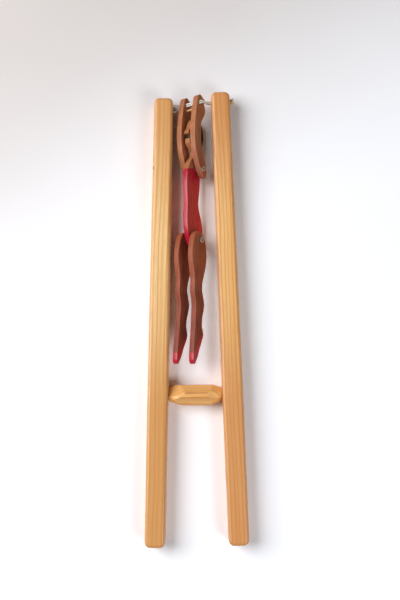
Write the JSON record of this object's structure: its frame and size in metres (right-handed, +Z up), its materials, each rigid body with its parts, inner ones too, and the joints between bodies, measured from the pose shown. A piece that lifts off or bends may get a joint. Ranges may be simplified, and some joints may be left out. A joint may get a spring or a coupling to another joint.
{
  "type": "squeeze acrobat toy",
  "caption": "Wooden squeeze acrobat toy: a jointed board figure hung by its hands on a string loop between rails that rock on a whittled crossbar.",
  "frame": {"origin": "middle of the bounding box at its bottom, where the rails' backs lie on the table", "axes": "+X across the toy to the right rail, +Y along the rails to the string end, +Z up from the table through the rails"},
  "size_m": [0.0765, 0.345, 0.0271],
  "materials": {
    "honey_wood": "satin clear-finished softwood with straight grain",
    "stained_wood": "brown-stained board, satin",
    "red_paint": "board painted gloss red, with a brown head",
    "steel": "bright steel",
    "string": "twisted cotton, matte"
  },
  "bodies": {
    "bar": {"crossbar": "honey_wood", "left_pivot_nail": "steel", "right_pivot_nail": "steel"},
    "left_rail": {"left_rail": "honey_wood", "string_left_loop": "string"},
    "right_rail": {"right_rail": "honey_wood", "string_right_end": "string", "string_knot": "string"},
    "arms": {"left_arm": "stained_wood", "right_arm": "stained_wood", "hand_dowel": "honey_wood", "shoulder_rivet": "steel", "string_middle": "string", "string_left_span": "string", "string_right_span": "string"},
    "torso": {"torso": "red_paint", "hip_rivet": "steel"},
    "left_leg": {"left_leg": "stained_wood"},
    "right_leg": {"right_leg": "stained_wood"}
  },
  "joints": [
    {"name": "squeeze", "type": "hinge", "parent": "bar", "child": "left_rail", "pos_m": [-0.02805, -0.06175, 0.00825], "axis": [0, 0, 1], "range_deg": [-0.5, 0.9]},
    {"name": "right_rail_rock", "type": "hinge", "parent": "bar", "child": "right_rail", "pos_m": [0.02805, -0.06175, 0.00825], "axis": [0, 0, 1], "range_deg": [-0.9, 0.5]},
    {"name": "trapeze_spin", "type": "hinge", "parent": "bar", "child": "arms", "pos_m": [0, 0.16335, 0.00825], "axis": [1, 0, 0], "continuous": true, "deforming": ["string_left_span", "string_right_span"]},
    {"name": "torso_swing", "type": "hinge", "parent": "arms", "child": "torso", "pos_m": [0.0008, 0.11105, 0.01], "axis": [-0.809, 0, -0.5878], "range_deg": [-4, 110]},
    {"name": "left_leg_swing", "type": "hinge", "parent": "torso", "child": "left_leg", "pos_m": [-0.00114, 0.05505, 0.01267], "axis": [-0.809, 0, -0.5878], "range_deg": [-20, 100]},
    {"name": "right_leg_swing", "type": "hinge", "parent": "torso", "child": "right_leg", "pos_m": [-0.00114, 0.05505, 0.01267], "axis": [-0.809, 0, -0.5878], "range_deg": [-20, 100]}
  ],
  "couplings": [
    {"joint": "right_rail_rock", "follows": "squeeze", "ratio": -1}
  ]
}
